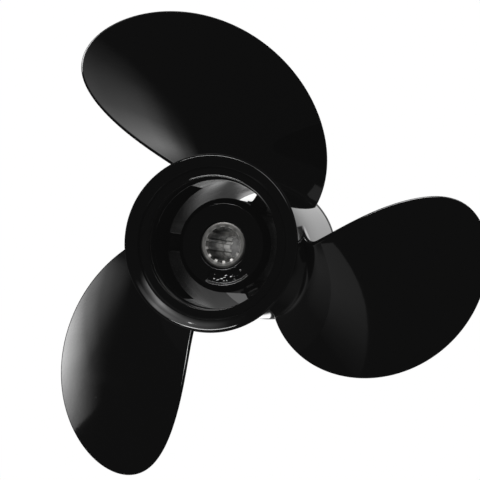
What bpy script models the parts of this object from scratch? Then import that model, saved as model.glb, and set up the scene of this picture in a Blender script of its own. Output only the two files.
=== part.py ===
# Propeller of an outboard motor: three swept blades on an exhaust barrel with a flared ring at
# its aft end, and inside it a ribbed hub with a rubber bushing and a splined metal sleeve.
# Metres, +Z up. The shaft axis is Z and the aft end is up, so the propeller stands on the
# barrel's forward rim, which is the plane z = 0.

import math

import bmesh
import bpy
from mathutils import Matrix, Vector

MM = 0.001
GAP = 0.3 * MM

# Driving dimensions of the propeller
TIP_RADIUS = 146 * MM
PITCH = 330 * MM
LENGTH = 140 * MM
BARREL_RADIUS = 40.5 * MM
BARREL_BORE = 36.7 * MM
LIP_RADIUS = 49 * MM

# Blades: angles in degrees, each a smooth run of four values from the root to the tip
BLADE_COUNT = 3
FIRST_BLADE_ANGLE = 78.3
SWEEP = (0, 17.6, 26.8, 39.1)
HALF_WIDTH = (39.7, 49.7, 44.3, 51.3)
ROOT_HEIGHT = 50.2 * MM
TIP_HEIGHT = 57.6 * MM
ROOT_THICKNESS = 8 * MM
TIP_THICKNESS = 2.6 * MM
ROOT_EDGE_THICKNESS = 2.2 * MM
TIP_EDGE_THICKNESS = 1.2 * MM
BULGE = 0.8
ROOT_FILLET = 6 * MM
FILLET_STATIONS = 4
TIP_CUT = 0.03
BLADE_STATIONS = 15
CHORD_STEPS = 20
SECTION_ROWS = 5

# Outer barrel
RIM_EDGE = 0.8 * MM

# Flared ring: the curve outside it takes this share of a quarter turn. Inside, a cone runs in
# from the lip, drops at a short steep step and goes on as a flatter ledge.
FLARE_START = LENGTH - 16 * MM
FLARE_TOP = LENGTH - 2.6 * MM
FLARE_SWING = 0.66
FLARE_STEPS = 7
LIP_OUTLINE = (
    (LIP_RADIUS, LENGTH - 1.3 * MM),
    (LIP_RADIUS - 0.4 * MM, LENGTH - 0.4 * MM),
    (LIP_RADIUS - 1.2 * MM, LENGTH),
    (LIP_RADIUS - 2 * MM, LENGTH - 0.3 * MM),
)
STEP_TOP = (42.7 * MM, LENGTH - 2.9 * MM)
STEP_FOOT = (41.8 * MM, LENGTH - 5.1 * MM)
LEDGE_RADIUS = 38.5 * MM
LEDGE_HEIGHT = LENGTH - 6.4 * MM

# Throat ring, with a low ridge round its top edge
RIDGE_OUTER_RADIUS = 37.8 * MM
RIDGE_INNER_RADIUS = 37.2 * MM
RIDGE_HEIGHT = LENGTH - 5.8 * MM
THROAT_RADIUS = 36 * MM
THROAT_END = LENGTH - 14.5 * MM

# Inner hub with its ribs, bushing and sleeve
HUB_FACE = LENGTH - 28 * MM
HUB_FACE_RADIUS = 23.3 * MM
HUB_SHOULDER = LENGTH - 33 * MM
HUB_RADIUS = 26.4 * MM
HUB_FORWARD = 9 * MM
HUB_EDGE = 0.5 * MM
HUB_SHOULDER_EDGE = 1.2 * MM
HUB_HOLE_RADIUS = 13.6 * MM
HUB_HOLE_DEPTH = 14 * MM
BUSHING_SEAT_RADIUS = 19.5 * MM
RIB_ANGLE = 55.4
RIB_WIDTH = 9.6 * MM
RIB_AFT = LENGTH - 48 * MM
RIB_FORWARD = 14 * MM
RIB_ROUND = 2.4 * MM

# Shallow curved recess in the hub's aft face; its outer wall slopes gently
RECESS_START = -117.5
RECESS_END = -47.5
RECESS_INNER_RADIUS = 15.3 * MM
RECESS_OUTER_RADIUS = 21.9 * MM
RECESS_DEPTH = 1.1 * MM
RECESS_WALL = 0.5 * MM
RECESS_FLOOR_RADIUS = 20 * MM

SLEEVE_RADIUS = 12.7 * MM
SLEEVE_AFT = LENGTH - 28.9 * MM
SLEEVE_FORWARD = 6 * MM
SPLINE_TEETH = 13
SPLINE_GROOVE_RADIUS = 10 * MM
SPLINE_TIP_RADIUS = 8.9 * MM
SPLINE_PHASE = 1.9
TOOTH_SHARE = 0.25
BUSHING_INSET = 2 * MM

# Sides of the turned pieces
BARREL_SIDES = 96
HUB_SIDES = 72

# An edge is sharp where its faces meet at more degrees than this
SHARP_ANGLE = 35

PAINT = (0.012, 0.012, 0.013)
RUBBER = (0.02, 0.02, 0.02)
METAL = (0.42, 0.41, 0.39)


def material(name, color, roughness, metallic):
    made = bpy.data.materials.new(name)
    made.use_nodes = True
    shader = made.node_tree.nodes["Principled BSDF"]
    shader.inputs["Base Color"].default_value = (*color, 1)
    shader.inputs["Roughness"].default_value = roughness
    shader.inputs["Metallic"].default_value = metallic
    return made


def add_object(name, bm, finish):
    bmesh.ops.recalc_face_normals(bm, faces=bm.faces)
    mesh = bpy.data.meshes.new(name)
    bm.to_mesh(mesh)
    bm.free()
    mesh.shade_smooth()
    mesh.set_sharp_from_angle(angle=math.radians(SHARP_ANGLE))
    mesh.materials.append(finish)
    made = bpy.data.objects.new(name, mesh)
    bpy.context.scene.collection.objects.link(made)
    return made


def polar(radius, angle, height):
    return Vector((radius * math.cos(angle), radius * math.sin(angle), height))


def ring_of(bm, points):
    """A closed ring of edges: its verts in their order, and its edges."""
    verts = [bm.verts.new(point) for point in points]
    edges = [bm.edges.new((a, b)) for a, b in zip(verts, verts[1:] + verts[:1])]
    return verts, edges


def cap_strip(bm, verts, rows=()):
    """Closes a ring that runs along one side and back along the other. Rows of points between
    the two sides make the end as round as they are."""
    steps = len(verts) // 2 - 1
    inner = [[bm.verts.new(point) for point in row[1:-1]] for row in rows]
    sides = [verts[1:steps]] + inner + [verts[-2 : steps + 1 : -1]]
    for side, other in zip(sides, sides[1:]):
        for pair, facing in zip(zip(side, side[1:]), zip(other, other[1:])):
            bm.faces.new((*pair, *facing[::-1]))
    bm.faces.new([verts[0]] + [side[0] for side in sides] + [verts[-1]])
    bm.faces.new([verts[steps]] + [side[-1] for side in sides] + [verts[steps + 1]])


def spun(profile, sides, start=0):
    """A closed profile of (radius, height) points, spun once round the shaft axis from the
    start angle in degrees."""
    bm = bmesh.new()
    _, edges = ring_of(bm, [polar(radius, math.radians(start), z) for radius, z in profile])
    bmesh.ops.spin(
        bm,
        geom=edges,
        axis=(0, 0, 1),
        cent=(0, 0, 0),
        angle=math.tau,
        steps=sides,
        use_merge=True,
        use_duplicate=False,
    )
    bmesh.ops.remove_doubles(bm, verts=bm.verts, dist=1e-6)
    bmesh.ops.recalc_face_normals(bm, faces=bm.faces)
    return bm


def turned(name, profile, sides, finish):
    return add_object(name, spun(profile, sides), finish)


def bezier(values, share):
    a, b, c, d = values
    rest = 1 - share
    return a * rest**3 + 3 * b * rest**2 * share + 3 * c * rest * share**2 + d * share**3


def blade_section(share, fillet):
    """Rows of points from the aft to the forward side, on a cylinder round the shaft axis."""
    radius = BARREL_RADIUS + GAP + share * (TIP_RADIUS - BARREL_RADIUS - GAP)
    spread = fillet / radius
    middle = math.radians(bezier(SWEEP, share))
    half = math.radians(bezier(HALF_WIDTH, share)) * math.sqrt(1 - share) + spread
    height = ROOT_HEIGHT + share * (TIP_HEIGHT - ROOT_HEIGHT)
    lead = PITCH / math.tau
    slope = math.atan2(lead, radius)
    thickest = ROOT_THICKNESS + share * (TIP_THICKNESS - ROOT_THICKNESS)
    thinnest = ROOT_EDGE_THICKNESS + share * (TIP_EDGE_THICKNESS - ROOT_EDGE_THICKNESS)
    rows = [[] for _ in range(SECTION_ROWS)]
    for step in range(CHORD_STEPS + 1):
        across = -math.cos(math.pi * step / CHORD_STEPS)
        angle = middle + half * across
        bulge = (1 - across**2) ** BULGE
        thickness = thinnest + (thickest - thinnest) * bulge

        def point(offset):
            turn = offset * math.sin(slope) / radius
            return polar(radius, angle + turn, height + lead * angle - offset * math.cos(slope))

        for index, row in enumerate(rows):
            depth = index / (SECTION_ROWS - 1)
            row.append(point(depth * thickness + (2 * depth - 1) * fillet * bulge))
    return rows


def blade_shares():
    """Stations from the root to the tip: a few in the root fillet, then closer near the tip."""
    span = TIP_RADIUS - BARREL_RADIUS - GAP
    stations = []
    for step in range(FILLET_STATIONS):
        swing = math.pi / 2 * step / FILLET_STATIONS
        rise = ROOT_FILLET * (1 - math.cos(swing))
        stations.append((rise / span, ROOT_FILLET * (1 - math.sin(swing))))
    start = math.sqrt(1 - ROOT_FILLET / span)
    for step in range(BLADE_STATIONS + 1):
        left = start + (TIP_CUT - start) * step / BLADE_STATIONS
        stations.append((1 - left**2, 0))
    return stations


def blade(name, turn, finish):
    bm = bmesh.new()
    sections = [blade_section(*station) for station in blade_shares()]
    rings = [ring_of(bm, rows[0] + rows[-1][::-1]) for rows in sections]
    for (_, lower), (_, upper) in zip(rings, rings[1:]):
        bmesh.ops.bridge_loops(bm, edges=lower + upper)
    cap_strip(bm, rings[0][0], rows=sections[0][1:-1])
    cap_strip(bm, rings[-1][0])
    bmesh.ops.rotate(bm, verts=bm.verts, cent=(0, 0, 0), matrix=Matrix.Rotation(turn, 3, "Z"))
    return add_object(name, bm, finish)


def outer_barrel(finish):
    profile = [
        (BARREL_RADIUS, FLARE_START),
        (BARREL_RADIUS, RIM_EDGE),
        (BARREL_RADIUS - RIM_EDGE, 0),
        (BARREL_BORE + RIM_EDGE, 0),
        (BARREL_BORE, RIM_EDGE),
        (BARREL_BORE, FLARE_START),
    ]
    return turned("outer_barrel", profile, BARREL_SIDES, finish)


def flared_ring(finish):
    base = FLARE_START + GAP
    full = math.pi / 2 * FLARE_SWING
    outside = []
    for step in range(FLARE_STEPS + 1):
        swing = full * step / FLARE_STEPS
        reach = (1 - math.cos(swing)) / (1 - math.cos(full))
        rise = math.sin(swing) / math.sin(full)
        radius = BARREL_RADIUS + reach * (LIP_RADIUS - BARREL_RADIUS)
        outside.append((radius, base + rise * (FLARE_TOP - base)))
    inside = [STEP_TOP, STEP_FOOT, (LEDGE_RADIUS, LEDGE_HEIGHT), (LEDGE_RADIUS, base)]
    profile = outside + list(LIP_OUTLINE) + inside
    return turned("flared_ring", profile[::-1], BARREL_SIDES, finish)


def throat_ring(finish):
    outer = LEDGE_RADIUS - GAP
    bottom = FLARE_START + GAP
    profile = [
        (outer, LEDGE_HEIGHT),
        (outer, bottom),
        (BARREL_BORE, bottom),
        (THROAT_RADIUS, THROAT_END),
        (RIDGE_INNER_RADIUS, RIDGE_HEIGHT),
        (RIDGE_OUTER_RADIUS, RIDGE_HEIGHT),
    ]
    return turned("throat_ring", profile, BARREL_SIDES, finish)


def inner_hub(finish):
    """Its aft face has a shallow curved recess, inset from the faces between two rings."""
    shelf = HUB_FACE - HUB_HOLE_DEPTH
    profile = [
        (RECESS_OUTER_RADIUS, HUB_FACE),
        (HUB_FACE_RADIUS, HUB_FACE),
        (HUB_RADIUS - HUB_EDGE, HUB_SHOULDER + HUB_SHOULDER_EDGE),
        (HUB_RADIUS, HUB_SHOULDER),
        (HUB_RADIUS, HUB_FORWARD),
        (BUSHING_SEAT_RADIUS, HUB_FORWARD),
        (BUSHING_SEAT_RADIUS, shelf),
        (HUB_HOLE_RADIUS, shelf),
        (HUB_HOLE_RADIUS, HUB_FACE - HUB_EDGE),
        (HUB_HOLE_RADIUS + HUB_EDGE, HUB_FACE),
        (RECESS_INNER_RADIUS, HUB_FACE),
    ]
    half_side = 180 / HUB_SIDES
    bm = spun(profile, HUB_SIDES, start=half_side)
    sector = []
    for face in bm.faces:
        middle = face.calc_center_median()
        angle = math.degrees(math.atan2(middle.y, middle.x))
        between = RECESS_INNER_RADIUS < middle.xy.length < RECESS_OUTER_RADIUS
        if face.normal.z > 0.99 and between and RECESS_START < angle < RECESS_END:
            sector.append(face)
    bmesh.ops.inset_region(bm, faces=sector, thickness=RECESS_WALL, depth=-RECESS_DEPTH)
    floor_edge = RECESS_OUTER_RADIUS - 2 * RECESS_WALL
    for vert in {vert for face in sector for vert in face.verts}:
        if vert.co.xy.length > floor_edge:
            vert.co.xy *= RECESS_FLOOR_RADIUS / vert.co.xy.length
    return add_object("inner_hub", bm, finish)


def rubber_bushing(finish):
    inner = SLEEVE_RADIUS + GAP
    outer = BUSHING_SEAT_RADIUS - GAP
    top = HUB_FACE - HUB_HOLE_DEPTH - GAP
    bottom = HUB_FORWARD + BUSHING_INSET
    profile = [(outer, top), (outer, bottom), (inner, bottom), (inner, top)]
    return turned("rubber_bushing", profile, HUB_SIDES, finish)


def rib(name, angle, finish):
    """A straight web between hub and barrel, its ends round to fit them, its aft edge rounded."""
    inner = HUB_RADIUS + GAP
    outer = BARREL_BORE - GAP
    half = RIB_WIDTH / 2
    across = [half * share for share in (-1, -0.5, 0, 0.5, 1)]
    outline = [(math.sqrt(inner**2 - y**2), y) for y in across]
    outline += [(math.sqrt(outer**2 - y**2), y) for y in reversed(across)]
    bm = bmesh.new()
    bottom = bm.faces.new([bm.verts.new((x, y, RIB_FORWARD)) for x, y in outline])
    made = bmesh.ops.extrude_face_region(bm, geom=[bottom], use_keep_orig=True)
    top = [item for item in made["geom"] if isinstance(item, bmesh.types.BMVert)]
    bmesh.ops.translate(bm, verts=top, vec=(0, 0, RIB_AFT - RIB_FORWARD))
    tops = set(top)
    sides = [
        edge
        for edge in bm.edges
        if set(edge.verts) <= tops and all(abs(abs(v.co.y) - half) < 1e-7 for v in edge.verts)
    ]
    bmesh.ops.bevel(bm, geom=sides, offset=RIB_ROUND, segments=3, profile=0.5, affect="EDGES")
    bmesh.ops.rotate(bm, verts=bm.verts, cent=(0, 0, 0), matrix=Matrix.Rotation(angle, 3, "Z"))
    return add_object(name, bm, finish)


def splined_sleeve(finish):
    """A tube whose bore has straight teeth, pointed at the middle of the first tooth."""
    tooth = math.tau / SPLINE_TEETH
    inner, outer = [], []
    for index in range(SPLINE_TEETH):
        centre = math.radians(SPLINE_PHASE - 90) + index * tooth
        for place, radius in (
            (-TOOTH_SHARE / 2, SPLINE_TIP_RADIUS),
            (TOOTH_SHARE / 2, SPLINE_TIP_RADIUS),
            (TOOTH_SHARE, SPLINE_GROOVE_RADIUS),
            (1 - TOOTH_SHARE, SPLINE_GROOVE_RADIUS),
        ):
            inner.append((radius, centre + place * tooth))
            outer.append((SLEEVE_RADIUS, centre + place * tooth))
    bm = bmesh.new()
    rings = []
    for height in (SLEEVE_FORWARD, SLEEVE_AFT):
        for side in (outer, inner):
            points = [polar(radius, angle, height) for radius, angle in side]
            rings.append(ring_of(bm, points)[1])
    outer_low, inner_low, outer_high, inner_high = rings
    for first, second in (
        (outer_low, inner_low),
        (outer_high, inner_high),
        (outer_low, outer_high),
        (inner_low, inner_high),
    ):
        bmesh.ops.bridge_loops(bm, edges=first + second)
    return add_object("splined_sleeve", bm, finish)


def main():
    for old in list(bpy.data.objects):
        bpy.data.objects.remove(old)
    paint = material("black_paint", PAINT, 0.12, 0)
    rubber = material("rubber", RUBBER, 0.7, 0)
    metal = material("sleeve_metal", METAL, 0.35, 1)
    outer_barrel(paint)
    flared_ring(paint)
    throat_ring(paint)
    inner_hub(paint)
    rubber_bushing(rubber)
    splined_sleeve(metal)
    step = math.tau / BLADE_COUNT
    for index in range(BLADE_COUNT):
        blade(f"blade_{index + 1}", math.radians(FIRST_BLADE_ANGLE) - index * step, paint)
        rib(f"rib_{index + 1}", math.radians(RIB_ANGLE) - index * step, paint)


main()
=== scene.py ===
import math

import bpy
import numpy as np
from mathutils import Matrix, Vector


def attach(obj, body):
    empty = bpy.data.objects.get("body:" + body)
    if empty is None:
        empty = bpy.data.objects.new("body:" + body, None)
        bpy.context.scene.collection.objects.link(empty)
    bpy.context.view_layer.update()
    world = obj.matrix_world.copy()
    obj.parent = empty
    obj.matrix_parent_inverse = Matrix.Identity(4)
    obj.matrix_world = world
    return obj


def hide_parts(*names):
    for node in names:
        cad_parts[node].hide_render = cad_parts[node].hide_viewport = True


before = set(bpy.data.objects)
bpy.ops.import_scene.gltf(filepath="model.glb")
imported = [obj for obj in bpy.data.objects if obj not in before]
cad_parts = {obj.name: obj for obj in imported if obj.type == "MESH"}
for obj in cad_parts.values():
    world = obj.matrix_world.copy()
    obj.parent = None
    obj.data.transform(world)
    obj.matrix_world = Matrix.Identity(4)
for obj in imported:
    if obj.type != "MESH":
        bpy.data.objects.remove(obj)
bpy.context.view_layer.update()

mm = 0.001
scene = bpy.context.scene


# Helpers for modelling by hand

def deselectAll():
    if bpy.context.object and bpy.context.object.mode == "EDIT":
        bpy.ops.object.mode_set(mode="OBJECT")
    bpy.ops.object.select_all(action="DESELECT")


def pickOnly(piece):
    deselectAll()
    piece.select_set(True)
    bpy.context.view_layer.objects.active = piece


def editMode(kind="VERT"):
    bpy.ops.object.mode_set(mode="EDIT")
    bpy.ops.mesh.select_mode(type=kind)


def objectMode():
    bpy.ops.object.mode_set(mode="OBJECT")


def selectVerts(piece, wanted):
    # selects the vertices whose place passes the test, and the edges and faces between them
    editMode("VERT")
    bpy.ops.mesh.select_all(action="DESELECT")
    objectMode()
    for vert in piece.data.vertices:
        vert.select = bool(wanted(vert.co))
    editMode("VERT")


def selectEdges(piece, wanted):
    # the test gets the places of the edge's two ends
    editMode("EDGE")
    bpy.ops.mesh.select_all(action="DESELECT")
    objectMode()
    verts = piece.data.vertices
    for edge in piece.data.edges:
        edge.select = bool(wanted(verts[edge.vertices[0]].co, verts[edge.vertices[1]].co))
    editMode("EDGE")


def applyPlace(piece):
    pickOnly(piece)
    bpy.ops.object.transform_apply(location=True, rotation=True, scale=True)


def outwards(piece):
    pickOnly(piece)
    editMode("VERT")
    bpy.ops.mesh.select_all(action="SELECT")
    bpy.ops.mesh.remove_doubles(threshold=1e-6)
    bpy.ops.mesh.normals_make_consistent(inside=False)
    objectMode()


def smoothShade(piece, angle=32):
    pickOnly(piece)
    bpy.ops.object.shade_smooth_by_angle(angle=math.radians(angle))


def settle(piece, material, slotName, *nodes):
    # the piece takes its finish, rides on the one body and stands for its CAD nodes
    piece.data.materials.clear()
    piece.data.materials.append(material)
    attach(piece, "root")
    if nodes:
        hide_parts(*nodes)


def paintFaces(piece, material, wanted):
    # a second finish for the faces whose middle passes the test
    piece.data.materials.append(material)
    for face in piece.data.polygons:
        if wanted(face.center):
            face.material_index = len(piece.data.materials) - 1


def radiusOf(co):
    return math.hypot(co.x, co.y)


def onRing(co, radius, height, near=0.02 * mm):
    return abs(radiusOf(co) - radius) < near and abs(co.z - height) < near


def turnRings(name, rings, sides):
    # a lathe by hand: a circle, extruded up ring by ring and scaled to each radius, closed on itself
    (firstRadius, firstHeight), rest = rings[0], rings[1:]
    deselectAll()
    bpy.ops.mesh.primitive_circle_add(
        vertices=sides, radius=firstRadius * mm, fill_type="NOTHING", location=(0, 0, firstHeight * mm))
    piece = bpy.context.object
    piece.name = piece.data.name = name
    applyPlace(piece)
    editMode("EDGE")
    bpy.ops.mesh.select_all(action="SELECT")
    radius, height = firstRadius, firstHeight
    for nextRadius, nextHeight in rest + [rings[0]]:
        bpy.ops.mesh.extrude_region_move(TRANSFORM_OT_translate={"value": (0, 0, (nextHeight - height) * mm)})
        grow = nextRadius / radius
        bpy.ops.transform.resize(value=(grow, grow, 1), center_override=(0, 0, nextHeight * mm))
        radius, height = nextRadius, nextHeight
    objectMode()
    outwards(piece)
    return piece


def roundRings(piece, rings, width, segments=3):
    # rolls the edges that run round at these (radius, height) places
    pickOnly(piece)
    selectEdges(piece, lambda a, b: any(
        onRing(a, r * mm, z * mm) and onRing(b, r * mm, z * mm) for r, z in rings))
    bpy.ops.mesh.bevel(offset=width * mm, segments=segments, profile=0.5, affect="EDGES")
    objectMode()


# Helpers for materials

class Nodes:
    # places nodes in a tree and joins them by name
    def __init__(self, tree):
        self.tree = tree

    def add(self, kind, values=None, **settings):
        node = self.tree.nodes.new(kind)
        for name, value in settings.items():
            setattr(node, name, value)
        for name, value in (values or {}).items():
            node.inputs[name].default_value = value
        return node

    def join(self, output, socket):
        self.tree.links.new(output, socket)

    def math(self, operation, first, second=None, third=None):
        node = self.add("ShaderNodeMath", operation=operation)
        for index, value in enumerate((first, second, third)):
            if value is None:
                continue
            if isinstance(value, (int, float)):
                node.inputs[index].default_value = value
            else:
                self.join(value, node.inputs[index])
        return node.outputs[0]

    def remap(self, value, low, high, toLow=0.0, toHigh=1.0, smooth=True):
        node = self.add("ShaderNodeMapRange", interpolation_type="SMOOTHSTEP" if smooth else "LINEAR")
        self.join(value, node.inputs["Value"])
        for name, number in (("From Min", low), ("From Max", high), ("To Min", toLow), ("To Max", toHigh)):
            node.inputs[name].default_value = number
        return node.outputs["Result"]

    def noise(self, coords, scale, detail=2.0, roughness=0.5):
        node = self.add("ShaderNodeTexNoise", {"Scale": scale, "Detail": detail, "Roughness": roughness})
        self.join(coords, node.inputs["Vector"])
        return node.outputs["Fac"]

    def mix(self, kind, sockets, values):
        node = self.add("ShaderNodeMix", data_type=kind)
        for index, value in zip(sockets, values):
            if isinstance(value, (tuple, int, float)):
                node.inputs[index].default_value = value
            else:
                self.join(value, node.inputs[index])
        return node

    def mixColor(self, factor, first, second):
        return self.mix("RGBA", (0, 6, 7), (factor, first, second)).outputs[2]

    def mixValue(self, factor, first, second):
        return self.mix("FLOAT", (0, 2, 3), (factor, first, second)).outputs[0]


def newGroup(name, inputs, outputs):
    group = bpy.data.node_groups.new(name, "ShaderNodeTree")
    for socketName, kind, value in inputs:
        socket = group.interface.new_socket(name=socketName, in_out="INPUT", socket_type=kind)
        if value is not None:
            socket.default_value = value
    for socketName, kind in outputs:
        group.interface.new_socket(name=socketName, in_out="OUTPUT", socket_type=kind)
    tree = Nodes(group)
    return group, tree, tree.add("NodeGroupInput"), tree.add("NodeGroupOutput")


def castSurfaceGroup():
    # what a sand-smooth casting does under paint: slow waves, orange peel and a few pits
    group, tree, given, out = newGroup(
        "castSurface",
        [("Vector", "NodeSocketVector", None), ("Wave Size", "NodeSocketFloat", 60.0),
         ("Peel Size", "NodeSocketFloat", 900.0), ("Pits", "NodeSocketFloat", 0.5)],
        [("Waves", "NodeSocketFloat"), ("Peel", "NodeSocketFloat"), ("Pit Mask", "NodeSocketFloat")])
    waves = tree.add("ShaderNodeTexNoise", {"Detail": 1.0, "Roughness": 0.4})
    peel = tree.add("ShaderNodeTexNoise", {"Detail": 2.0, "Roughness": 0.55})
    pits = tree.add("ShaderNodeTexVoronoi", {"Scale": 260.0, "Randomness": 1.0})
    for node in (waves, peel, pits):
        tree.join(given.outputs["Vector"], node.inputs["Vector"])
    tree.join(given.outputs["Wave Size"], waves.inputs["Scale"])
    tree.join(given.outputs["Peel Size"], peel.inputs["Scale"])
    spot = tree.remap(pits.outputs["Distance"], 0.04, 0.1, 1.0, 0.0)
    rare = tree.remap(tree.noise(given.outputs["Vector"], 55.0), 0.62, 0.72)
    tree.join(waves.outputs["Fac"], out.inputs["Waves"])
    tree.join(peel.outputs["Fac"], out.inputs["Peel"])
    tree.join(tree.math("MULTIPLY", tree.math("MULTIPLY", spot, rare), given.outputs["Pits"]),
              out.inputs["Pit Mask"])
    return group


def dustGroup():
    # fine dust and wipe marks that dull a gloss surface in patches
    group, tree, given, out = newGroup(
        "dustAndWipes",
        [("Vector", "NodeSocketVector", None), ("Amount", "NodeSocketFloat", 0.5)],
        [("Dust", "NodeSocketFloat"), ("Specks", "NodeSocketFloat")])
    patches = tree.remap(tree.noise(given.outputs["Vector"], 22.0, 4.0, 0.6), 0.45, 0.75)
    fine = tree.remap(tree.noise(given.outputs["Vector"], 700.0, 3.0, 0.7), 0.5, 0.8)
    specks = tree.remap(tree.noise(given.outputs["Vector"], 1500.0, 1.0, 0.5), 0.74, 0.8)
    tree.join(tree.math("MULTIPLY", tree.math("MULTIPLY_ADD", patches, 0.6, tree.math("MULTIPLY", fine, 0.4)),
                        given.outputs["Amount"]), out.inputs["Dust"])
    tree.join(tree.math("MULTIPLY", specks, given.outputs["Amount"]), out.inputs["Specks"])
    return group


def edgeWearGroup():
    # rubbed edges, which the gloss paint also lightens as a painted highlight: where the surface bends sharply
    # outwards, broken up by noise
    group, tree, given, out = newGroup(
        "edgeWearAndHighlight",
        [("Vector", "NodeSocketVector", None), ("Low", "NodeSocketFloat", 0.53),
         ("High", "NodeSocketFloat", 0.62), ("Breakup", "NodeSocketFloat", 400.0)],
        [("Wear", "NodeSocketFloat")])
    geometry = tree.add("ShaderNodeNewGeometry")
    bend = tree.add("ShaderNodeMapRange", interpolation_type="SMOOTHSTEP")
    tree.join(geometry.outputs["Pointiness"], bend.inputs["Value"])
    tree.join(given.outputs["Low"], bend.inputs["From Min"])
    tree.join(given.outputs["High"], bend.inputs["From Max"])
    broken = tree.add("ShaderNodeTexNoise", {"Detail": 4.0, "Roughness": 0.65})
    tree.join(given.outputs["Vector"], broken.inputs["Vector"])
    tree.join(given.outputs["Breakup"], broken.inputs["Scale"])
    tree.join(tree.math("MULTIPLY", bend.outputs["Result"],
                        tree.remap(broken.outputs["Fac"], 0.35, 0.6)), out.inputs["Wear"])
    return group


groups = {}


def sharedGroup(name):
    makers = {"castSurface": castSurfaceGroup, "dust": dustGroup, "edgeWearAndHighlight": edgeWearGroup}
    if name not in groups:
        groups[name] = makers[name]()
    return groups[name]


def placeGroup(tree, name, coords, **values):
    node = tree.add("ShaderNodeGroup", node_tree=sharedGroup(name))
    tree.join(coords, node.inputs["Vector"])
    for socketName, value in values.items():
        node.inputs[socketName].default_value = value
    return node


def newMaterial(name):
    material = bpy.data.materials.new(name)
    material.use_nodes = True
    tree = Nodes(material.node_tree)
    shader = material.node_tree.nodes["Principled BSDF"]
    coords = tree.add("ShaderNodeTexCoord").outputs["Object"]
    return material, tree, shader, coords


glossPaint = {
    "color": (0.0115, 0.0115, 0.012, 1),
    "thinAndHighlightColor": (0.024, 0.024, 0.025, 1),  # paint rubbed thin at the edges, and a painted highlight along them
    "dustColor": (0.05, 0.05, 0.05, 1),
    "roughness": 0.05,
    "dullRoughness": 0.2,
    "waveDepth": 0.05 * mm,
    "peelDepth": 0.004 * mm,
    "pitDepth": 0.03 * mm,
}


def glossPaintMaterial(name, waveSize=38.0, dust=0.35, wave=1.0, dullness=1.0, shine=0.5):
    look = glossPaint
    material, tree, shader, coords = newMaterial(name)
    surface = placeGroup(tree, "castSurface", coords, **{"Wave Size": waveSize, "Peel Size": 620.0, "Pits": 0.6})
    dusty = placeGroup(tree, "dust", coords, Amount=dust)
    wearAndHighlight = placeGroup(tree, "edgeWearAndHighlight", coords, Low=0.54, High=0.64)
    # painted highlight: the edges are lighter, partly as paint rubbed thin, partly as light catching them
    shade = tree.mixColor(tree.math("MULTIPLY", wearAndHighlight.outputs["Wear"], 0.6), look["color"], look["thinAndHighlightColor"])
    shade = tree.mixColor(tree.math("MULTIPLY", dusty.outputs["Specks"], 0.5), shade, look["dustColor"])
    tree.join(shade, shader.inputs["Base Color"])
    dull = tree.math("ADD", dusty.outputs["Dust"], tree.math("MULTIPLY", wearAndHighlight.outputs["Wear"], 0.4))
    rough = tree.remap(dull, 0.0, 0.7, look["roughness"] * dullness, min(look["dullRoughness"] * dullness, 0.6))
    tree.join(rough, shader.inputs["Roughness"])
    shader.inputs["Specular IOR Level"].default_value = shine
    height = tree.math("MULTIPLY", surface.outputs["Waves"], look["waveDepth"] * wave / mm)
    height = tree.math("MULTIPLY_ADD", surface.outputs["Peel"], look["peelDepth"] / mm, height)
    height = tree.math("MULTIPLY_ADD", surface.outputs["Pit Mask"], -look["pitDepth"] / mm, height)
    bump = tree.add("ShaderNodeBump", {"Strength": 1.0, "Distance": mm})
    tree.join(height, bump.inputs["Height"])
    tree.join(bump.outputs["Normal"], shader.inputs["Normal"])
    return material


turnedMetal = {
    "color": (0.22, 0.216, 0.208, 1),
    "darkColor": (0.12, 0.117, 0.112, 1),
    "boreColor": (0.14, 0.138, 0.134, 1),
    # the painted highlight's colour in the bore
    "boreHighlightColor": (0.8, 0.79, 0.76, 1),
    "roughness": 0.42,
    "stainRoughness": 0.55,
    "toolMarks": 2400.0,  # rings a metre
}


def turnedMetalMaterial():
    # the sleeve's end face has rings from the lathe, its bore is darker with dried grease and carries a painted
    # highlight
    look = turnedMetal
    material, tree, shader, coords = newMaterial("turnedMetal")
    parts = tree.add("ShaderNodeSeparateXYZ")
    tree.join(coords, parts.inputs[0])
    flat = tree.add("ShaderNodeCombineXYZ")
    tree.join(parts.outputs["X"], flat.inputs["X"])
    tree.join(parts.outputs["Y"], flat.inputs["Y"])
    radius = tree.add("ShaderNodeVectorMath", operation="LENGTH")
    tree.join(flat.outputs[0], radius.inputs[0])
    rings = tree.add("ShaderNodeTexNoise", {"Scale": look["toolMarks"], "Detail": 2.0}, noise_dimensions="1D")
    tree.join(radius.outputs["Value"], rings.inputs["W"])
    stains = tree.remap(tree.noise(coords, 160.0, 4.0, 0.6), 0.42, 0.68)
    bore = tree.remap(radius.outputs["Value"], 10.1 * mm, 10.5 * mm, 1.0, 0.0)
    stain = tree.math("MULTIPLY", stains, 0.6)
    # painted highlight: a bright band in the bore from 57 mm up, fading out by 95 mm, and a lighter mouth above 103
    # mm
    boreHighlight = tree.math("MULTIPLY", tree.remap(parts.outputs["Z"], 95 * mm, 80 * mm), tree.remap(parts.outputs["Z"], 56 * mm, 57 * mm))
    boreHighlight = tree.math("MAXIMUM", boreHighlight, tree.remap(parts.outputs["Z"], 103 * mm, 107 * mm, 0.0, 0.6))
    inside = tree.mixColor(boreHighlight, look["boreColor"], look["boreHighlightColor"])
    shade = tree.mixColor(stain, tree.mixColor(bore, look["color"], inside), look["darkColor"])
    shade = tree.mixColor(tree.math("MULTIPLY", rings.outputs["Fac"], 0.25), shade, look["darkColor"])
    tree.join(shade, shader.inputs["Base Color"])
    shader.inputs["Metallic"].default_value = 1.0
    rough = tree.remap(stain, 0.0, 0.6, look["roughness"], look["stainRoughness"])
    tree.join(rough, shader.inputs["Roughness"])
    bump = tree.add("ShaderNodeBump", {"Strength": 0.5, "Distance": 0.02 * mm})
    tree.join(rings.outputs["Fac"], bump.inputs["Height"])
    tree.join(bump.outputs["Normal"], shader.inputs["Normal"])
    return material


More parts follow.
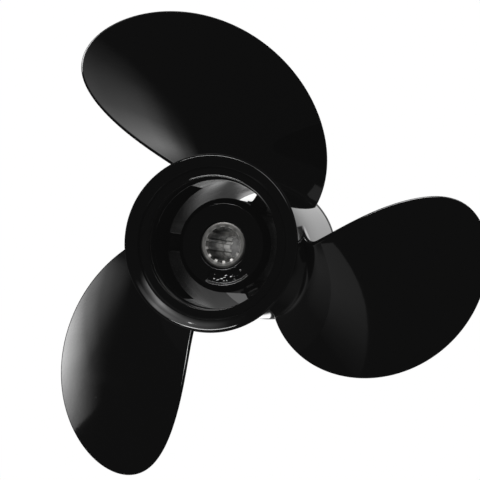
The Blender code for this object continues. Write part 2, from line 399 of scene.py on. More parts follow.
def rubberMaterial():
    material, tree, shader, coords = newMaterial("bushingRubber")
    dusty = placeGroup(tree, "dust", coords, Amount=0.8)
    shade = tree.mixColor(dusty.outputs["Dust"], (0.012, 0.012, 0.012, 1), (0.03, 0.029, 0.028, 1))
    tree.join(shade, shader.inputs["Base Color"])
    tree.join(tree.remap(dusty.outputs["Dust"], 0.0, 0.8, 0.62, 0.85), shader.inputs["Roughness"])
    bump = tree.add("ShaderNodeBump", {"Strength": 0.4, "Distance": 0.05 * mm})
    tree.join(tree.noise(coords, 1400.0, 3.0), bump.inputs["Height"])
    tree.join(bump.outputs["Normal"], shader.inputs["Normal"])
    return material


cameraView = {
    "place": (0.30998, -0.04581, 1.29167),
    "right": (0.96916, 0.0, -0.24644),
    "up": (0.00979, 0.99921, 0.03852),
    "back": (0.24625, -0.03974, 0.96839),
    "lens": 164.66,
    "sensor": 36.0,
}


def setCamera():
    data = bpy.data.cameras.new("photoCamera")
    data.lens, data.sensor_width, data.sensor_fit = cameraView["lens"], cameraView["sensor"], "HORIZONTAL"
    data.clip_start, data.clip_end = 0.05, 60
    camera = bpy.data.objects.new("photoCamera", data)
    scene.collection.objects.link(camera)
    turn = Matrix((cameraView["right"], cameraView["up"], cameraView["back"])).transposed()
    camera.matrix_world = Matrix.Translation(cameraView["place"]) @ turn.to_4x4()
    scene.camera = camera
    print("camera set")


setCamera()

studio = {
    "floorSize": 40.0,
    "floorGlow": 1.0,  # how white the floor looks by itself
    "poolGlow": 0.95,  # the lit paper beside the barrel, as its paint mirrors it
    "poolInner": 0.048,
    "poolOuter": 0.075,
    "farGlow": 0.03,
    "edgeGlow": 1.5,  # painted light on the paper close under the barrel's near side
    "sheenGlow": 0.2,  # a painted reflection of the card on the left, glowing in the floor
    "sheenAngles": (-153, -123, -114, -103),  # where it starts, is full, is full still and ends
    "sheenCentre": (0.045, -0.03),
    "boreGlow": 1.6,  # painted light on the paper under the sleeve's bore
    "shadeGlow": 0.11,  # the shaded floor inside the barrel's rim
    "leakGlow": 0.75,  # and where light leaks in under the rim
    "rimShade": 0.041,
    "roomGlow": 0.02,  # what the gloss paint sees where there is no light
    "ambient": 0.08,
    "blackLift": 0.0031,  # the photograph's blacks are raised a little
}

# each soft light: where it stands, where it faces, its width and height in metres, its brightness,
# and how it fades: a direction, then places along it in metres with the share of light left there
softLights = {
    "keyPanel": ((2.606, 2.953, 3.55), (0.191, -0.982, 0), (10.4, 5.7), 4.2, (
        ((0, 0, 1), ((0.7, 0.01), (1.04, 0.08), (1.27, 0.21), (1.61, 0.5), (2.0, 0.82), (2.3, 1.0), (2.58, 0.97),
                     (3.09, 0.68), (3.78, 0.34), (4.58, 0.2), (5.5, 0.06), (6.4, 0.0))),
        ((0.982, 0.191, 0), ((-1.5, 0.0), (-0.9, 0.015), (-0.34, 0.2), (0.6, 0.28),
                             (0.92, 0.42), (1.28, 0.62), (1.65, 0.95),
                             (1.9, 0.85), (2.5, 0.63), (3.0, 0.67), (3.6, 0.7), (4.4, 0.5), (4.93, 0.3), (5.5, 0.16),
                             (7.0, 0.05), (8.3, 0.0))),
    )),
    "sideBox": ((-1.398, 1.895, 1.551), (0.4716, -0.6036, -0.643), (1.95, 1.9), 15.0, (
        ((0.3957, -0.5065, 0.766), ((-1.25, 0.0), (-1.07, 0.012), (-0.85, 0.03), (-0.64, 0.063), (-0.44, 0.19),
                                    (-0.24, 0.64), (-0.12, 0.95), (0.0, 1.0), (0.4, 1.0), (0.6, 0.0))),
        ((-0.863, -0.167, -0.476), ((0.19, 1.0), (0.35, 0.76), (0.505, 0.42), (0.65, 0.13), (0.75, 0.05),
                                    (0.83, 0.015), (0.9, 0.0))),
        ((0.788, 0.6157, 0), ((0.55, 1.0), (0.7, 0.9), (0.86, 0.6), (1.03, 0.0))),
    )),
    "highBox": ((-0.66, 1.635, 2.427), (0.2202, -0.545, -0.809), (1.2, 0.84), 12.0, ()),
    "leftCard": ((-1.6, -3.5, 0.46), (1, 0, 0), (5.2, 0.8), 0.19, (
        ((0, -1, 0), ((0.9, 0.03), (1.12, 0.22), (1.34, 0.5), (1.6, 0.75), (1.9, 0.93), (2.3, 1.0))),
    )),
    "rightCard": ((1.38, -2.08, 0.22), (-0.55, 0.835, 0), (0.6, 0.46), 0.22, ()),
}
flaggedLights = ("sideBox",)  # lights flagged off from all but the blades and the hub


def addFloor():
    deselectAll()
    bpy.ops.mesh.primitive_plane_add(size=studio["floorSize"], location=(0, 0, 0))
    floor = bpy.context.object
    floor.name = "studioFloor"
    material, tree, shader, coords = newMaterial("paleFloor")
    shader.inputs["Base Color"].default_value = (0.03, 0.03, 0.03, 1)
    shader.inputs["Roughness"].default_value = 0.9
    shader.inputs["Specular IOR Level"].default_value = 0.0
    # the floor's glow is white to the camera; for other rays it paints pools of light, shade and reflections
    path = tree.add("ShaderNodeLightPath")
    away = tree.add("ShaderNodeVectorMath", operation="LENGTH")
    tree.join(coords, away.inputs[0])
    parts = tree.add("ShaderNodeSeparateXYZ")
    tree.join(coords, parts.inputs[0])
    # painted light: for the rays that the paint mirrors, the floor glows in a pool beside the barrel on its right
    # and is dark further out
    pool = tree.remap(away.outputs["Value"], studio["poolInner"], studio["poolOuter"],
                      studio["poolGlow"], studio["farGlow"])
    beside = tree.math("MULTIPLY", tree.remap(parts.outputs["X"], -5 * mm, 20 * mm),
                       tree.remap(parts.outputs["Y"], -20 * mm, -5 * mm))
    pool = tree.mixValue(beside, studio["farGlow"], pool)
    # painted shade: a dark strip across it, which the barrel mirrors as a dark reflection beside the right blade's
    # root
    strip = tree.math("MULTIPLY", tree.remap(away.outputs["Value"], 0.0573, 0.058),
                      tree.remap(away.outputs["Value"], 0.0616, 0.0626, 1.0, 0.0))
    strip = tree.math("MULTIPLY", strip, tree.remap(parts.outputs["Y"], 26 * mm, 24 * mm))
    pool = tree.mixValue(strip, pool, studio["farGlow"])
    # painted light: a brighter patch close under the barrel's near side, ending along a slanted line
    below = tree.math("MULTIPLY", tree.remap(parts.outputs["Y"], -36 * mm, -38 * mm),
                      tree.remap(away.outputs["Value"], 0.046, 0.05, studio["edgeGlow"], 0.0))
    slanted = tree.math("MULTIPLY_ADD", parts.outputs["Y"], 0.683, parts.outputs["X"])
    below = tree.math("MULTIPLY", below, tree.remap(slanted, -28.6 * mm, -27.4 * mm, 1.0, 0.0))
    pool = tree.math("MAXIMUM", pool, below)
    # painted reflection: the floor glows in the sector where it would mirror the card on the left
    centreX, centreY = studio["sheenCentre"]
    azimuth = tree.math("ARCTAN2", tree.math("SUBTRACT", parts.outputs["Y"], centreY),
                        tree.math("SUBTRACT", parts.outputs["X"], centreX))
    start, full, still, end = (math.radians(angle) for angle in studio["sheenAngles"])
    sheen = tree.math("MULTIPLY", tree.remap(azimuth, start, full, smooth=False),
                      tree.remap(azimuth, still, end, 1.0, 0.0, smooth=False))
    sheen = tree.math("MULTIPLY", sheen, tree.remap(away.outputs["Value"], 0.05, 0.07, 0.0, studio["sheenGlow"]))
    pool = tree.math("MAXIMUM", pool, sheen)
    seen = tree.mixValue(path.outputs["Is Camera Ray"], pool, studio["floorGlow"])
    # painted shade: inside the rim the floor is shaded, but painted light leaks in at the far side and on the left
    farSide = tree.remap(parts.outputs["Y"], 28 * mm, 33 * mm)
    leftSide = tree.math("MULTIPLY", tree.remap(parts.outputs["X"], -23 * mm, -28 * mm),
                         tree.remap(parts.outputs["Y"], 6 * mm, 13 * mm))
    lowerSide = tree.math("MULTIPLY", tree.remap(parts.outputs["X"], -28 * mm, -33 * mm),
                          tree.remap(parts.outputs["Y"], -3 * mm, -10 * mm, 0.0, 0.4))
    leak = tree.math("MAXIMUM", tree.math("MAXIMUM", farSide, leftSide), lowerSide)
    shade = tree.remap(leak, 0.0, 1.0, studio["shadeGlow"], studio["leakGlow"], smooth=False)
    # painted shadow of the rib on the left, on the floor below it
    fromRib = tree.math("ABSOLUTE", tree.math("SUBTRACT", parts.outputs["Y"], 2 * mm))
    ribShade = tree.math("MAXIMUM", tree.remap(fromRib, 4 * mm, 6 * mm),
                         tree.remap(parts.outputs["X"], -28 * mm, -24 * mm))
    shade = tree.math("MULTIPLY", shade, tree.remap(ribShade, 0.0, 1.0, 0.15, 1.0))
    shade = tree.mixValue(tree.math("MULTIPLY", farSide, path.outputs["Is Camera Ray"]), shade, studio["floorGlow"])
    # painted light: the floor under the bore glows brighter, less so on its left
    underBore = tree.math("MULTIPLY", tree.remap(away.outputs["Value"], 12 * mm, 14 * mm, 1.0, 0.0),
                          tree.remap(parts.outputs["X"], 0.0, 4 * mm, 0.35, 1.0))
    shade = tree.math("MAXIMUM", shade, tree.math("MULTIPLY", underBore, studio["boreGlow"]))
    inRim = tree.math("LESS_THAN", away.outputs["Value"], studio["rimShade"])
    seen = tree.mixValue(inRim, seen, shade)
    seen = tree.mixValue(path.outputs["Is Diffuse Ray"], seen, studio["ambient"])
    shader.inputs["Emission Color"].default_value = (1, 1, 1, 1)
    tree.join(seen, shader.inputs["Emission Strength"])
    floor.data.materials.append(material)


def addSoftLight(name, place, facing, size, glow, fades):
    light = bpy.data.lights.new(name, "AREA")
    light.shape, light.size, light.size_y = "RECTANGLE", *size
    light.energy = 4 * glow * size[0] * size[1]
    holder = bpy.data.objects.new(name, light)
    scene.collection.objects.link(holder)
    holder.location = place
    holder.rotation_euler = Vector(facing).to_track_quat("-Z", "Y").to_euler()
    holder.visible_camera = False
    holder.visible_diffuse = False
    if fades:
        fadeLight(light, fades)
    if name in flaggedLights:
        holder.light_linking.receiver_collection = sideLit


def fadeLight(light, fades):
    # scrims over the light: each lets through less of it along its direction
    light.use_nodes = True
    tree = Nodes(light.node_tree)
    spot = tree.add("ShaderNodeNewGeometry").outputs["Position"]
    left = 1.0
    for direction, stops in fades:
        along = tree.add("ShaderNodeVectorMath", {1: direction}, operation="DOT_PRODUCT")
        tree.join(spot, along.inputs[0])
        first, last = stops[0][0], stops[-1][0]
        ramp = tree.add("ShaderNodeValToRGB")
        tree.join(tree.remap(along.outputs["Value"], first, last, smooth=False), ramp.inputs["Fac"])
        elements = ramp.color_ramp.elements
        while len(elements) < len(stops):
            elements.new(0.5)
        for element, (place, share) in zip(elements, stops):
            element.position = (place - first) / (last - first)
            element.color = (share, share, share, 1)
        left = tree.math("MULTIPLY", ramp.outputs["Color"], left)
    tree.join(left, light.node_tree.nodes["Emission"].inputs["Color"])


sideLit = bpy.data.collections.new("sideLit")


def addStudio():
    addFloor()
    world = bpy.data.worlds.new("paleRoom")
    world.use_nodes = True
    scene.world = world
    tree = Nodes(world.node_tree)
    background = world.node_tree.nodes["Background"]
    path = tree.add("ShaderNodeLightPath")
    soft = tree.mixValue(path.outputs["Is Diffuse Ray"], studio["roomGlow"], studio["ambient"])
    glow = tree.mixValue(path.outputs["Is Camera Ray"], soft, 1.0)
    background.inputs["Color"].default_value = (1, 1, 1, 1)
    tree.join(glow, background.inputs["Strength"])
    for name, settings in softLights.items():
        addSoftLight(name, *settings)
    scene.view_settings.view_transform = "Standard"
    scene.view_settings.look = "None"
    scene.view_settings.use_curve_mapping = True
    scene.view_settings.curve_mapping.black_level = (-studio["blackLift"],) * 3
    print("floor, room and lights set")


addStudio()
blackPaint = glossPaintMaterial("glossBlackPaint")
hubPaint = glossPaintMaterial("hubBlackPaint", waveSize=70.0, dust=0.5)
passagePaint = glossPaintMaterial("passageBlackPaint", waveSize=90.0, dust=0.5, wave=2.0, dullness=3.5)
# painted shade: a copy of the gloss paint without reflections, which keeps a wall dark
shadedWallPaint = glossPaintMaterial("shadedBlackPaint", waveSize=90.0, dust=0.3, wave=2.0, dullness=9.0, shine=0.0)
ribPaint = glossPaintMaterial("ribBlackPaint", waveSize=90.0, dust=0.8, wave=2.0, dullness=7.0)


blade = {
    "count": 3,
    "firstAngle": 78.16,
    "barrelRadius": 40.5,
    "tipRadius": 145.74,
    "pitch": 330.0,
    "sweep": (0, 17.6, 26.8, 39.1),
    "halfWidth": (39.7, 49.7, 44.3, 51.3),
    "tailTrim": 0.3,  # the trailing edge lies this much further in
    "rootHeight": 50.2,
    "tipHeight": 57.6,
    "rootThickness": 8.0,
    "tipThickness": 2.6,
    "rootEdge": 2.2,  # thickness of the edges at the root and at the tip
    "tipEdge": 1.2,
    "filletRise": 8.0,
    "filletSpread": 6.0,
    "aftRise": 2.4,  # the fillet is small on the aft face, but not round the trailing edge
    "aftSpread": 1.8,
    "filletStart": 0.35,  # it grows from nothing at the leading edge over this much of the half chord
    "filletTail": 10.0,  # and runs on this far past the trailing edge
    "chordSteps": 72,
    "spanSteps": 76,
    "filletSteps": 14,
    "bury": 0.4,  # how far the root goes into the barrel's wall
}


def bezierAt(values, share):
    a, b, c, d = values
    rest = 1 - share
    return a * rest**3 + 3 * b * rest**2 * share + 3 * c * rest * share**2 + d * share**3


def bladeStations():
    # share of the way out and swell of the root fillet, from inside the barrel's wall to the tip
    span = blade["tipRadius"] - blade["barrelRadius"]
    rise, steps = blade["filletRise"], blade["filletSteps"]
    stations = [(-blade["bury"] / span, 1.0)]
    for step in range(steps):
        swing = math.pi / 2 * step / steps
        stations.append((rise * (1 - math.cos(swing)) / span, 1 - math.sin(swing)))
    start = math.sqrt(1 - rise / span)
    for step in range(blade["spanSteps"] + 1):
        left = start * (1 - step / blade["spanSteps"]) ** 0.9
        stations.append((1 - left**2, 0.0))
    return stations


def swellAt(height, rise):
    # a quarter circle's swell at a height above the barrel
    left = 1 - min(max(height / rise, 0), 1)
    return 1 - math.sqrt(1 - left**2)


def bladePoint(share, swell, across, side):
    # a point of the blade in mm; side is 0 on the aft face and 1 on the forward one
    span = blade["tipRadius"] - blade["barrelRadius"]
    lead = blade["pitch"] / math.tau
    radius = blade["barrelRadius"] + share * span
    inside = min(max(share, 0.0), 1.0)
    if inside == 1:
        across = 0.0  # the tip is a single point
    perTurn = math.hypot(radius, lead)
    middle = math.radians(bezierAt(blade["sweep"], inside))
    full = math.radians(bezierAt(blade["halfWidth"], inside))
    angle = middle + full * math.sqrt(1 - inside) * across
    angle -= blade["tailTrim"] * math.sqrt(1 - inside) * max(across, 0) / radius
    height = blade["rootHeight"] + inside * (blade["tipHeight"] - blade["rootHeight"]) + lead * angle
    angle += swell * blade["filletTail"] * ((1 + across) / 2) ** 4 / radius
    thickest = blade["rootThickness"] + inside * (blade["tipThickness"] - blade["rootThickness"])
    edge = blade["rootEdge"] + inside * (blade["tipEdge"] - blade["rootEdge"])
    fromNose = min((1 + across) / blade["filletStart"], 1)
    noseShare = fromNose**2 * (3 - 2 * fromNose)
    fillet = blade["filletSpread"] * swell * noseShare
    aftShare = max(across, 0) ** 10
    aftRise = blade["aftRise"] + (blade["filletRise"] - blade["aftRise"]) * aftShare
    aftSpread = blade["aftSpread"] + (blade["filletSpread"] - blade["aftSpread"]) * aftShare
    aftFillet = aftSpread * swellAt(share * span, aftRise) * noseShare
    thickness = edge + (thickest - edge) * (1 - across**2) ** 0.8
    # distance to the blade's outline, which rounds the edge
    reach = full * perTurn
    slope = math.hypot(1 / span, 2 * across * math.sqrt(max(1 - inside, 0)) / reach)
    if swell:
        toEdge = (full * math.sqrt(1 - inside) * perTurn + (aftFillet + fillet) / 2) * (1 - abs(across))
    else:
        toEdge = (1 - inside) * (1 - across**2) / max(slope, 1e-6)
    roll = (edge + aftFillet + fillet) / 2
    keep = math.sqrt(max(1 - (1 - min(toEdge / roll, 1)) ** 2, 0))
    drop = (1 - keep) * roll
    offset = drop - aftFillet if side == 0 else thickness + fillet - drop
    if keep == 0:
        offset = (thickness + fillet - aftFillet) / 2
    slant = math.atan2(lead, radius)
    turned = angle + offset * math.sin(slant) / radius
    return (radius * math.cos(turned), radius * math.sin(turned), height - offset * math.cos(slant))


def addBlade(index):
    # a grid wrapped round the blade like a sleeve: its two long sides meet and its last row is the tip
    stations = bladeStations()
    chord, rows = blade["chordSteps"], len(stations)
    deselectAll()
    bpy.ops.mesh.primitive_grid_add(x_subdivisions=2 * chord, y_subdivisions=rows - 1, size=1)
    piece = bpy.context.object
    piece.name = piece.data.name = f"bladeCasting_{index + 1}"
    verts = piece.data.vertices
    turn = math.radians(blade["firstAngle"] - 360 / blade["count"] * index)
    columns = 2 * chord + 1
    assert len(verts) == columns * rows, (len(verts), columns, rows)
    cosTurn, sinTurn = math.cos(turn), math.sin(turn)
    for row, (share, swell) in enumerate(stations):
        for column in range(columns):
            side, step = (0, column) if column <= chord else (1, 2 * chord - column)
            across = -math.cos(math.pi * step / chord)
            x, y, z = bladePoint(share, swell, across, side)
            verts[row * columns + column].co = (
                (x * cosTurn - y * sinTurn) * mm, (x * sinTurn + y * cosTurn) * mm, z * mm)
    closeRoot(piece, chord)
    outwards(piece)
    smoothShade(piece, 60)
    settle(piece, blackPaint, "black_paint", f"blade_{index + 1}")
    sideLit.objects.link(piece)


def closeRoot(piece, chord):
    # a strip between the first row's two sides keeps the root inside the barrel's curved wall
    pickOnly(piece)
    editMode("EDGE")
    bpy.ops.mesh.select_all(action="DESELECT")
    objectMode()
    for edge in piece.data.edges:
        low, high = sorted(edge.vertices)
        edge.select = high <= 2 * chord and high - low == 1 and chord not in (low, high)
    editMode("EDGE")
    bpy.ops.mesh.bridge_edge_loops()
    editMode("VERT")
    bpy.ops.mesh.select_all(action="DESELECT")
    objectMode()
    for index in (chord - 1, chord, chord + 1):
        piece.data.vertices[index].select = True
    editMode("VERT")
    bpy.ops.mesh.edge_face_add()
    objectMode()


for bladeIndex in range(blade["count"]):
    addBlade(bladeIndex)
print("blades done")


barrel = {
    "sides": 192,
    "radius": 40.5,
    "bore": 36.7,
    "length": 140.0,
    "rimEdge": 0.3,
    "flareStart": 124.0,
    "lipRadius": 48.85,
    "flareTop": 137.6,
    "flareSwing": 0.66,  # share of a quarter turn that the flare's curve takes
    "flareSteps": 12,
    "lip": [(48.85, 138.2), (48.75, 138.7), (48.45, 139.3), (48.1, 139.72), (47.85, 139.93)],
    # inside the lip the cone wavers a little: radius and slope in degrees, from the step up to the lip
    "cone": ((41.95, 36), (43.0, 32), (43.9, 27), (44.9, 24), (45.7, 27), (46.8, 27), (47.3, 14), (47.6, 0)),
    "coneStart": 136.5,
    "coneStep": 0.2,
    "stepFoot": (41.0, 134.9),
    "ledgeEnd": (37.4, 134.6),
    "ridgeTop": (36.7, 135.0),  # a low ridge left round the throat's edge
    "ridgeInner": (36.35, 134.6),
    "throatWaist": (35.2, 125.5),
    "throatEnd": (36.7, 122.5),
    "shadeStart": 94.0,  # painted shade: the wall is matt and without reflections from here to the throat, on the left
    "shadeAngles": (117, 234),
}


def coneRings():
    # climbs the cone in short steps from its slopes and gives its rings from the lip down
    radii, slopes = zip(*barrel["cone"])
    height, rings = barrel["coneStart"], []
    steps = round((radii[-1] - radii[0]) / barrel["coneStep"])
    for step in range(steps + 1):
        radius = radii[0] + (radii[-1] - radii[0]) * step / steps
        rings.append((radius, height))
        slope = math.radians(float(np.interp(radius + barrel["coneStep"] / 2, radii, slopes)))
        height += math.tan(slope) * (radii[-1] - radii[0]) / steps
    top = rings[-1][1]
    assert top < barrel["length"], top
    return [(radius, z + barrel["length"] - top) for radius, z in reversed(rings)]


def addBarrel():
    b = barrel
    rings = [(b["radius"] - b["rimEdge"], 0), (b["radius"], b["rimEdge"])]
    rings += [(b["radius"], z) for z in (20, 50, 80, 105)]
    swing = math.pi / 2 * b["flareSwing"]
    for step in range(b["flareSteps"] + 1):
        turn = swing * step / b["flareSteps"]
        reach = (1 - math.cos(turn)) / (1 - math.cos(swing))
        rise = math.sin(turn) / math.sin(swing)
        rings.append((b["radius"] + reach * (b["lipRadius"] - b["radius"]),
                      b["flareStart"] + rise * (b["flareTop"] - b["flareStart"])))
    cone = coneRings()
    rings += b["lip"] + cone
    rings += [b[name] for name in ("stepFoot", "ledgeEnd", "ridgeTop", "ridgeInner", "throatWaist", "throatEnd")]
    rings += [(b["bore"], z) for z in (b["shadeStart"], 80, 50, 20, b["rimEdge"])]
    rings += [(b["bore"] + b["rimEdge"], 0)]
    piece = turnRings("barrelCasting", rings, b["sides"])
    roundRings(piece, [b["ledgeEnd"]], 0.25, 3)
    roundRings(piece, [b["ridgeTop"]], 0.15, 3)
    roundRings(piece, [b["throatWaist"]], 1.0, 4)
    smoothShade(piece, 40)
    settle(piece, blackPaint, "black_paint", "outer_barrel", "flared_ring", "throat_ring")
    paintFaces(piece, passagePaint, lambda co: radiusOf(co) < 37 * mm and co.z < b["throatEnd"][1] * mm)
    # painted shade on the left of the bore wall, between the shade's start and the throat
    shadeLow, shadeHigh = b["shadeAngles"]
    paintFaces(piece, shadedWallPaint, lambda co: radiusOf(co) < 37 * mm and b["shadeStart"] * mm < co.z < b["throatEnd"][1] * mm
               and shadeLow < math.degrees(math.atan2(co.y, co.x)) % 360 < shadeHigh)
    print("barrel done")


addBarrel()


rib = {
    "firstAngle": 55.4,
    "width": 9.6,
    "aft": 92.0,
    "forward": 14.0,
    "inner": 25.9,  # sunk a little into the hub
    "outer": 37.2,  # sunk a little into the barrel
    "fillet": 1.9,
    "steps": 6,
    "round": 2.4,
}


def ribStops():
    # distances from the shaft axis and the rib's swell there, wide at both ends
    stops = []
    r, n = rib["fillet"], rib["steps"]
    hub, wall = 26.4, barrel["bore"]
    stops.append((rib["inner"], r))
    for step in range(n + 1):
        swing = math.pi / 2 * step / n
        stops.append((hub + r * (1 - math.cos(swing)), r * (1 - math.sin(swing))))
    for step in range(n + 1):
        swing = math.pi / 2 * (1 - step / n)
        stops.append((wall - r * (1 - math.cos(swing)), r * (1 - math.sin(swing))))
    stops.append((rib["outer"], r))
    return stops


def addRib(index):
    stops = ribStops()
    tall = rib["aft"] - rib["forward"]
    middle = (rib["aft"] + rib["forward"]) / 2
    deselectAll()
    bpy.ops.mesh.primitive_plane_add(size=1, location=(stops[0][0] * mm, 0, middle * mm),
                                     rotation=(0, math.pi / 2, 0))
    piece = bpy.context.object
    piece.name = piece.data.name = f"ribCasting_{index + 1}"
    piece.scale = ((tall + 2 * stops[0][1]) * mm, (rib["width"] + 2 * stops[0][1]) * mm, 1)
    applyPlace(piece)
    editMode("FACE")
    bpy.ops.mesh.select_all(action="SELECT")
    for (x, swell), (nextX, nextSwell) in zip(stops, stops[1:]):
        bpy.ops.mesh.extrude_region_move(TRANSFORM_OT_translate={"value": ((nextX - x) * mm, 0, 0)})
        grow = (rib["width"] + 2 * nextSwell) / (rib["width"] + 2 * swell)
        rise = (tall + 2 * nextSwell) / (tall + 2 * swell)
        bpy.ops.transform.resize(value=(1, grow, rise), center_override=(nextX * mm, 0, middle * mm))
    objectMode()
    outwards(piece)
    half = rib["width"] / 2 * mm
    selectEdges(piece, lambda a, b: abs(a.z - b.z) < 0.6 * mm * rib["fillet"] * 2 and abs(a.x - b.x) > 1e-5
                and abs(a.y) > half * 0.99 and abs(b.y) > half * 0.99)
    bpy.ops.mesh.bevel(offset=rib["round"] * mm, segments=6, profile=0.5, affect="EDGES")
    objectMode()
    pickOnly(piece)
    piece.rotation_euler.z = math.radians(rib["firstAngle"] - 120 * index)
    applyPlace(piece)
    smoothShade(piece, 50)
    settle(piece, ribPaint, "black_paint", f"rib_{index + 1}")


for ribIndex in range(3):
    addRib(ribIndex)
print("ribs done")


hub = {
    "sides": 144,
    "face": 112.0,
    "faceRadius": 23.3,
    "shoulder": 107.0,
    "radius": 26.4,
    "forward": 9.0,
    "hole": 13.6,
    "holeDepth": 14.0,
    "seat": 19.5,
    "holeEdge": 0.25,
    "recessAngles": (-117.5, -47.5),  # a shallow curved recess in the aft face
    "recessInner": 15.3,
    "recessOuter": 22.5,
    "recessSteps": ((0.15, 0.04), (0.5, 1.2), (0.15, 0.04)),  # its wall: insets and how deep each goes
    "recessFloor": 21.3,  # the outer wall slopes down to this radius
    "recessGrain": 0.19,
    "recessCuts": 13,
    "markAngles": (-161, -154),  # a small flake of the casting stands up on the aft face
    "markMiddle": -157.5,
    "markReach": (16.4, 20.6),
    "markHeight": 0.24,
    "markGrain": 0.12,
    "markCuts": 5,
}


def addHub():
    h = hub
    shelf = h["face"] - h["holeDepth"]
    rings = [
        (h["seat"], h["forward"]), (h["radius"] - 0.6, h["forward"]), (h["radius"], h["forward"] + 0.6),
        (h["radius"], 40), (h["radius"], 75), (h["radius"], h["shoulder"]),
        (h["radius"] - 0.5, h["shoulder"] + 1.2), (h["faceRadius"], h["face"]),
        (h["recessOuter"], h["face"]), (h["recessInner"], h["face"]),
        (h["hole"] + h["holeEdge"], h["face"]), (h["hole"], h["face"] - h["holeEdge"]),
        (h["hole"], shelf), (h["seat"], shelf),
    ]
    piece = turnRings("hubCasting", rings, h["sides"])
    sinkRecess(piece)
    roughSpot(piece)
    roundRings(piece, [(h["radius"], h["shoulder"]), (h["radius"] - 0.5, h["shoulder"] + 1.2)], 0.5, 3)
    roundRings(piece, [(h["faceRadius"], h["face"])], 0.4, 3)
    roundRings(piece, [(h["hole"] + h["holeEdge"], h["face"]), (h["hole"], h["face"] - h["holeEdge"])], 0.1, 2)
    smoothShade(piece, 35)
    settle(piece, hubPaint, "black_paint", "inner_hub")
    sideLit.objects.link(piece)
    paintFaces(piece, passagePaint, lambda co: radiusOf(co) > 25 * mm and co.z < h["shoulder"] * mm)
    print("hub done")


def selectFace(piece, low, high):
    # the aft face's part between two angles and the recess's radii
    h = hub
    pickOnly(piece)
    editMode("FACE")
    bpy.ops.mesh.select_all(action="DESELECT")
    objectMode()
    for face in piece.data.polygons:
        angle = math.degrees(math.atan2(face.center.y, face.center.x))
        between = h["recessInner"] * mm < radiusOf(face.center) < h["recessOuter"] * mm
        face.select = face.normal.z > 0.99 and between and low < angle < high


def sinkRecess(piece):
    # inset and pushed in three times, so its wall starts and ends with a soft edge
    h = hub
    selectFace(piece, *h["recessAngles"])
    for index, (thickness, depth) in enumerate(h["recessSteps"]):
        editMode("FACE")
        bpy.ops.mesh.inset(thickness=thickness * mm, depth=-depth * mm)
        objectMode()
        if index != 1:
            continue
        for vert in piece.data.vertices:
            if vert.select and radiusOf(vert.co) > h["recessFloor"] * mm:
                shrink = h["recessFloor"] * mm / radiusOf(vert.co)
                vert.co = (vert.co.x * shrink, vert.co.y * shrink, vert.co.z)
    inner, outer = h["recessInner"] + 1.1, h["recessFloor"] - 1.2
    low, high = cutAcross(piece, h["recessCuts"])
    roughen(piece, lambda co: inner * mm < radiusOf(co) < outer * mm and low < angleOf(co) < high,
            h["recessGrain"], 5)


def roughSpot(piece):
    h = hub
    selectFace(piece, *h["markAngles"])
    cutAcross(piece, h["markCuts"])
    inner, outer = h["markReach"]
    roughen(piece, lambda co: inner * mm < radiusOf(co) < outer * mm and abs(angleOf(co) - h["markMiddle"]) < 1,
            h["markGrain"], 3, h["markHeight"])


def angleOf(co):
    return math.degrees(math.atan2(co.y, co.x))


def cutAcross(piece, cuts):
    # cuts the selected faces across the radius and gives the angles that they lie between
    editMode("FACE")
    objectMode()
    verts = piece.data.vertices
    spans = [edge for edge in piece.data.edges
             if all(verts[index].select for index in edge.vertices)
             and abs(radiusOf(verts[edge.vertices[0]].co) - radiusOf(verts[edge.vertices[1]].co)) > 2 * mm]
    angles = [angleOf(verts[index].co) for edge in spans for index in edge.vertices]
    chosen = {edge.index for edge in spans}
    editMode("EDGE")
    bpy.ops.mesh.select_all(action="DESELECT")
    objectMode()
    for edge in piece.data.edges:
        edge.select = edge.index in chosen
    editMode("EDGE")
    bpy.ops.mesh.subdivide(number_cuts=cuts)
    return min(angles) + 0.5, max(angles) - 0.5


def roughen(piece, wanted, grain, seed, height=0.0):
    # moves the aft face's wanted points up and down like sand-cast metal
    top, bottom = (hub["face"] + 0.1) * mm, (hub["face"] - 1.5) * mm
    selectVerts(piece, lambda co: bottom < co.z < top and wanted(co))
    bpy.ops.transform.translate(value=(0, 0, height * mm))
    bpy.ops.transform.vertex_random(offset=grain * mm, uniform=0, normal=1, seed=seed)
    objectMode()


addHub()

bushing = {"sides": 96, "inner": 12.75, "outer": 19.3, "aft": 97.6, "forward": 11.0, "edge": 0.6}


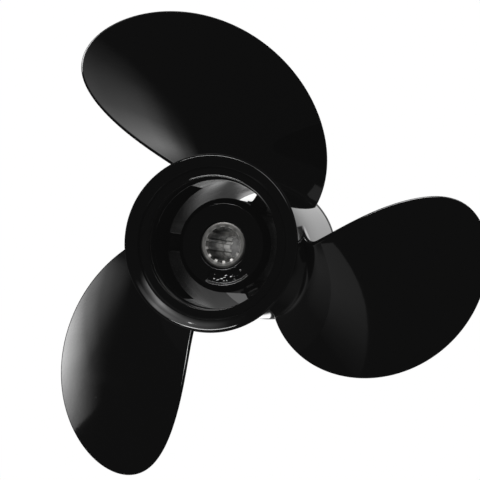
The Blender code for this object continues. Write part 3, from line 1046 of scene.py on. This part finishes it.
def addBushing():
    b = bushing
    rings = [(b["inner"], b["forward"]), (b["outer"], b["forward"]), (b["outer"], b["aft"]), (b["inner"], b["aft"])]
    piece = turnRings("rubberBushing", rings, b["sides"])
    roundRings(piece, rings, b["edge"], 3)
    smoothShade(piece, 40)
    settle(piece, rubberMaterial(), "rubber", "rubber_bushing")
    print("bushing done")


addBushing()

sleeve = {
    "radius": 12.7,
    "aft": 111.1,
    "forward": 6.0,
    "teeth": 13,
    "perTooth": 12,
    "groove": 10.0,
    "tip": 8.9,
    "phase": 1.9,  # the first tooth's middle, past straight down
    "toothEnd": 57.0,  # the teeth stop at this height, the bore goes on plain
    "outerEdge": 0.8,
    "outerDrop": 0.4,
    "mouthEdge": 0.42,
    "toothShare": 0.5,
}


def addSleeve():
    s = sleeve
    sides = s["teeth"] * s["perTooth"]
    mouth = s["groove"] + 0.05
    rings = [
        (s["radius"] - s["outerEdge"], s["forward"]), (s["radius"], s["forward"] + s["outerDrop"]),
        (s["radius"], 40), (s["radius"], 80),
        (s["radius"], s["aft"] - s["outerDrop"]), (s["radius"] - s["outerEdge"], s["aft"]),
        (mouth, s["aft"]), (s["groove"], s["aft"] - s["mouthEdge"]),
        (s["groove"], s["toothEnd"]), (s["groove"], s["toothEnd"] - 1.5), (s["groove"], 30),
        (s["groove"], s["forward"] + s["mouthEdge"]), (s["groove"] + s["mouthEdge"], s["forward"]),
    ]
    piece = turnRings("splinedSleeve", rings, sides)
    # the teeth: their vertices in the bore are scaled in towards the axis
    turn = math.radians(s["phase"] - 90)
    pitch = math.tau / s["teeth"]

    def inTooth(co):
        if radiusOf(co) > (s["groove"] + 0.03) * mm or co.z < (s["toothEnd"] - 0.5) * mm:
            return False
        place = ((math.atan2(co.y, co.x) - turn) / pitch + 0.5) % 1 - 0.5
        return abs(place) < s["toothShare"] / 2 - 0.02

    pickOnly(piece)
    selectVerts(piece, inTooth)
    shrink = s["tip"] / s["groove"]
    bpy.ops.transform.resize(value=(shrink, shrink, 1), center_override=(0, 0, 0))
    objectMode()
    smoothShade(piece, 24)
    settle(piece, turnedMetalMaterial(), "sleeve_metal", "splined_sleeve")
    print("sleeve done")


addSleeve()
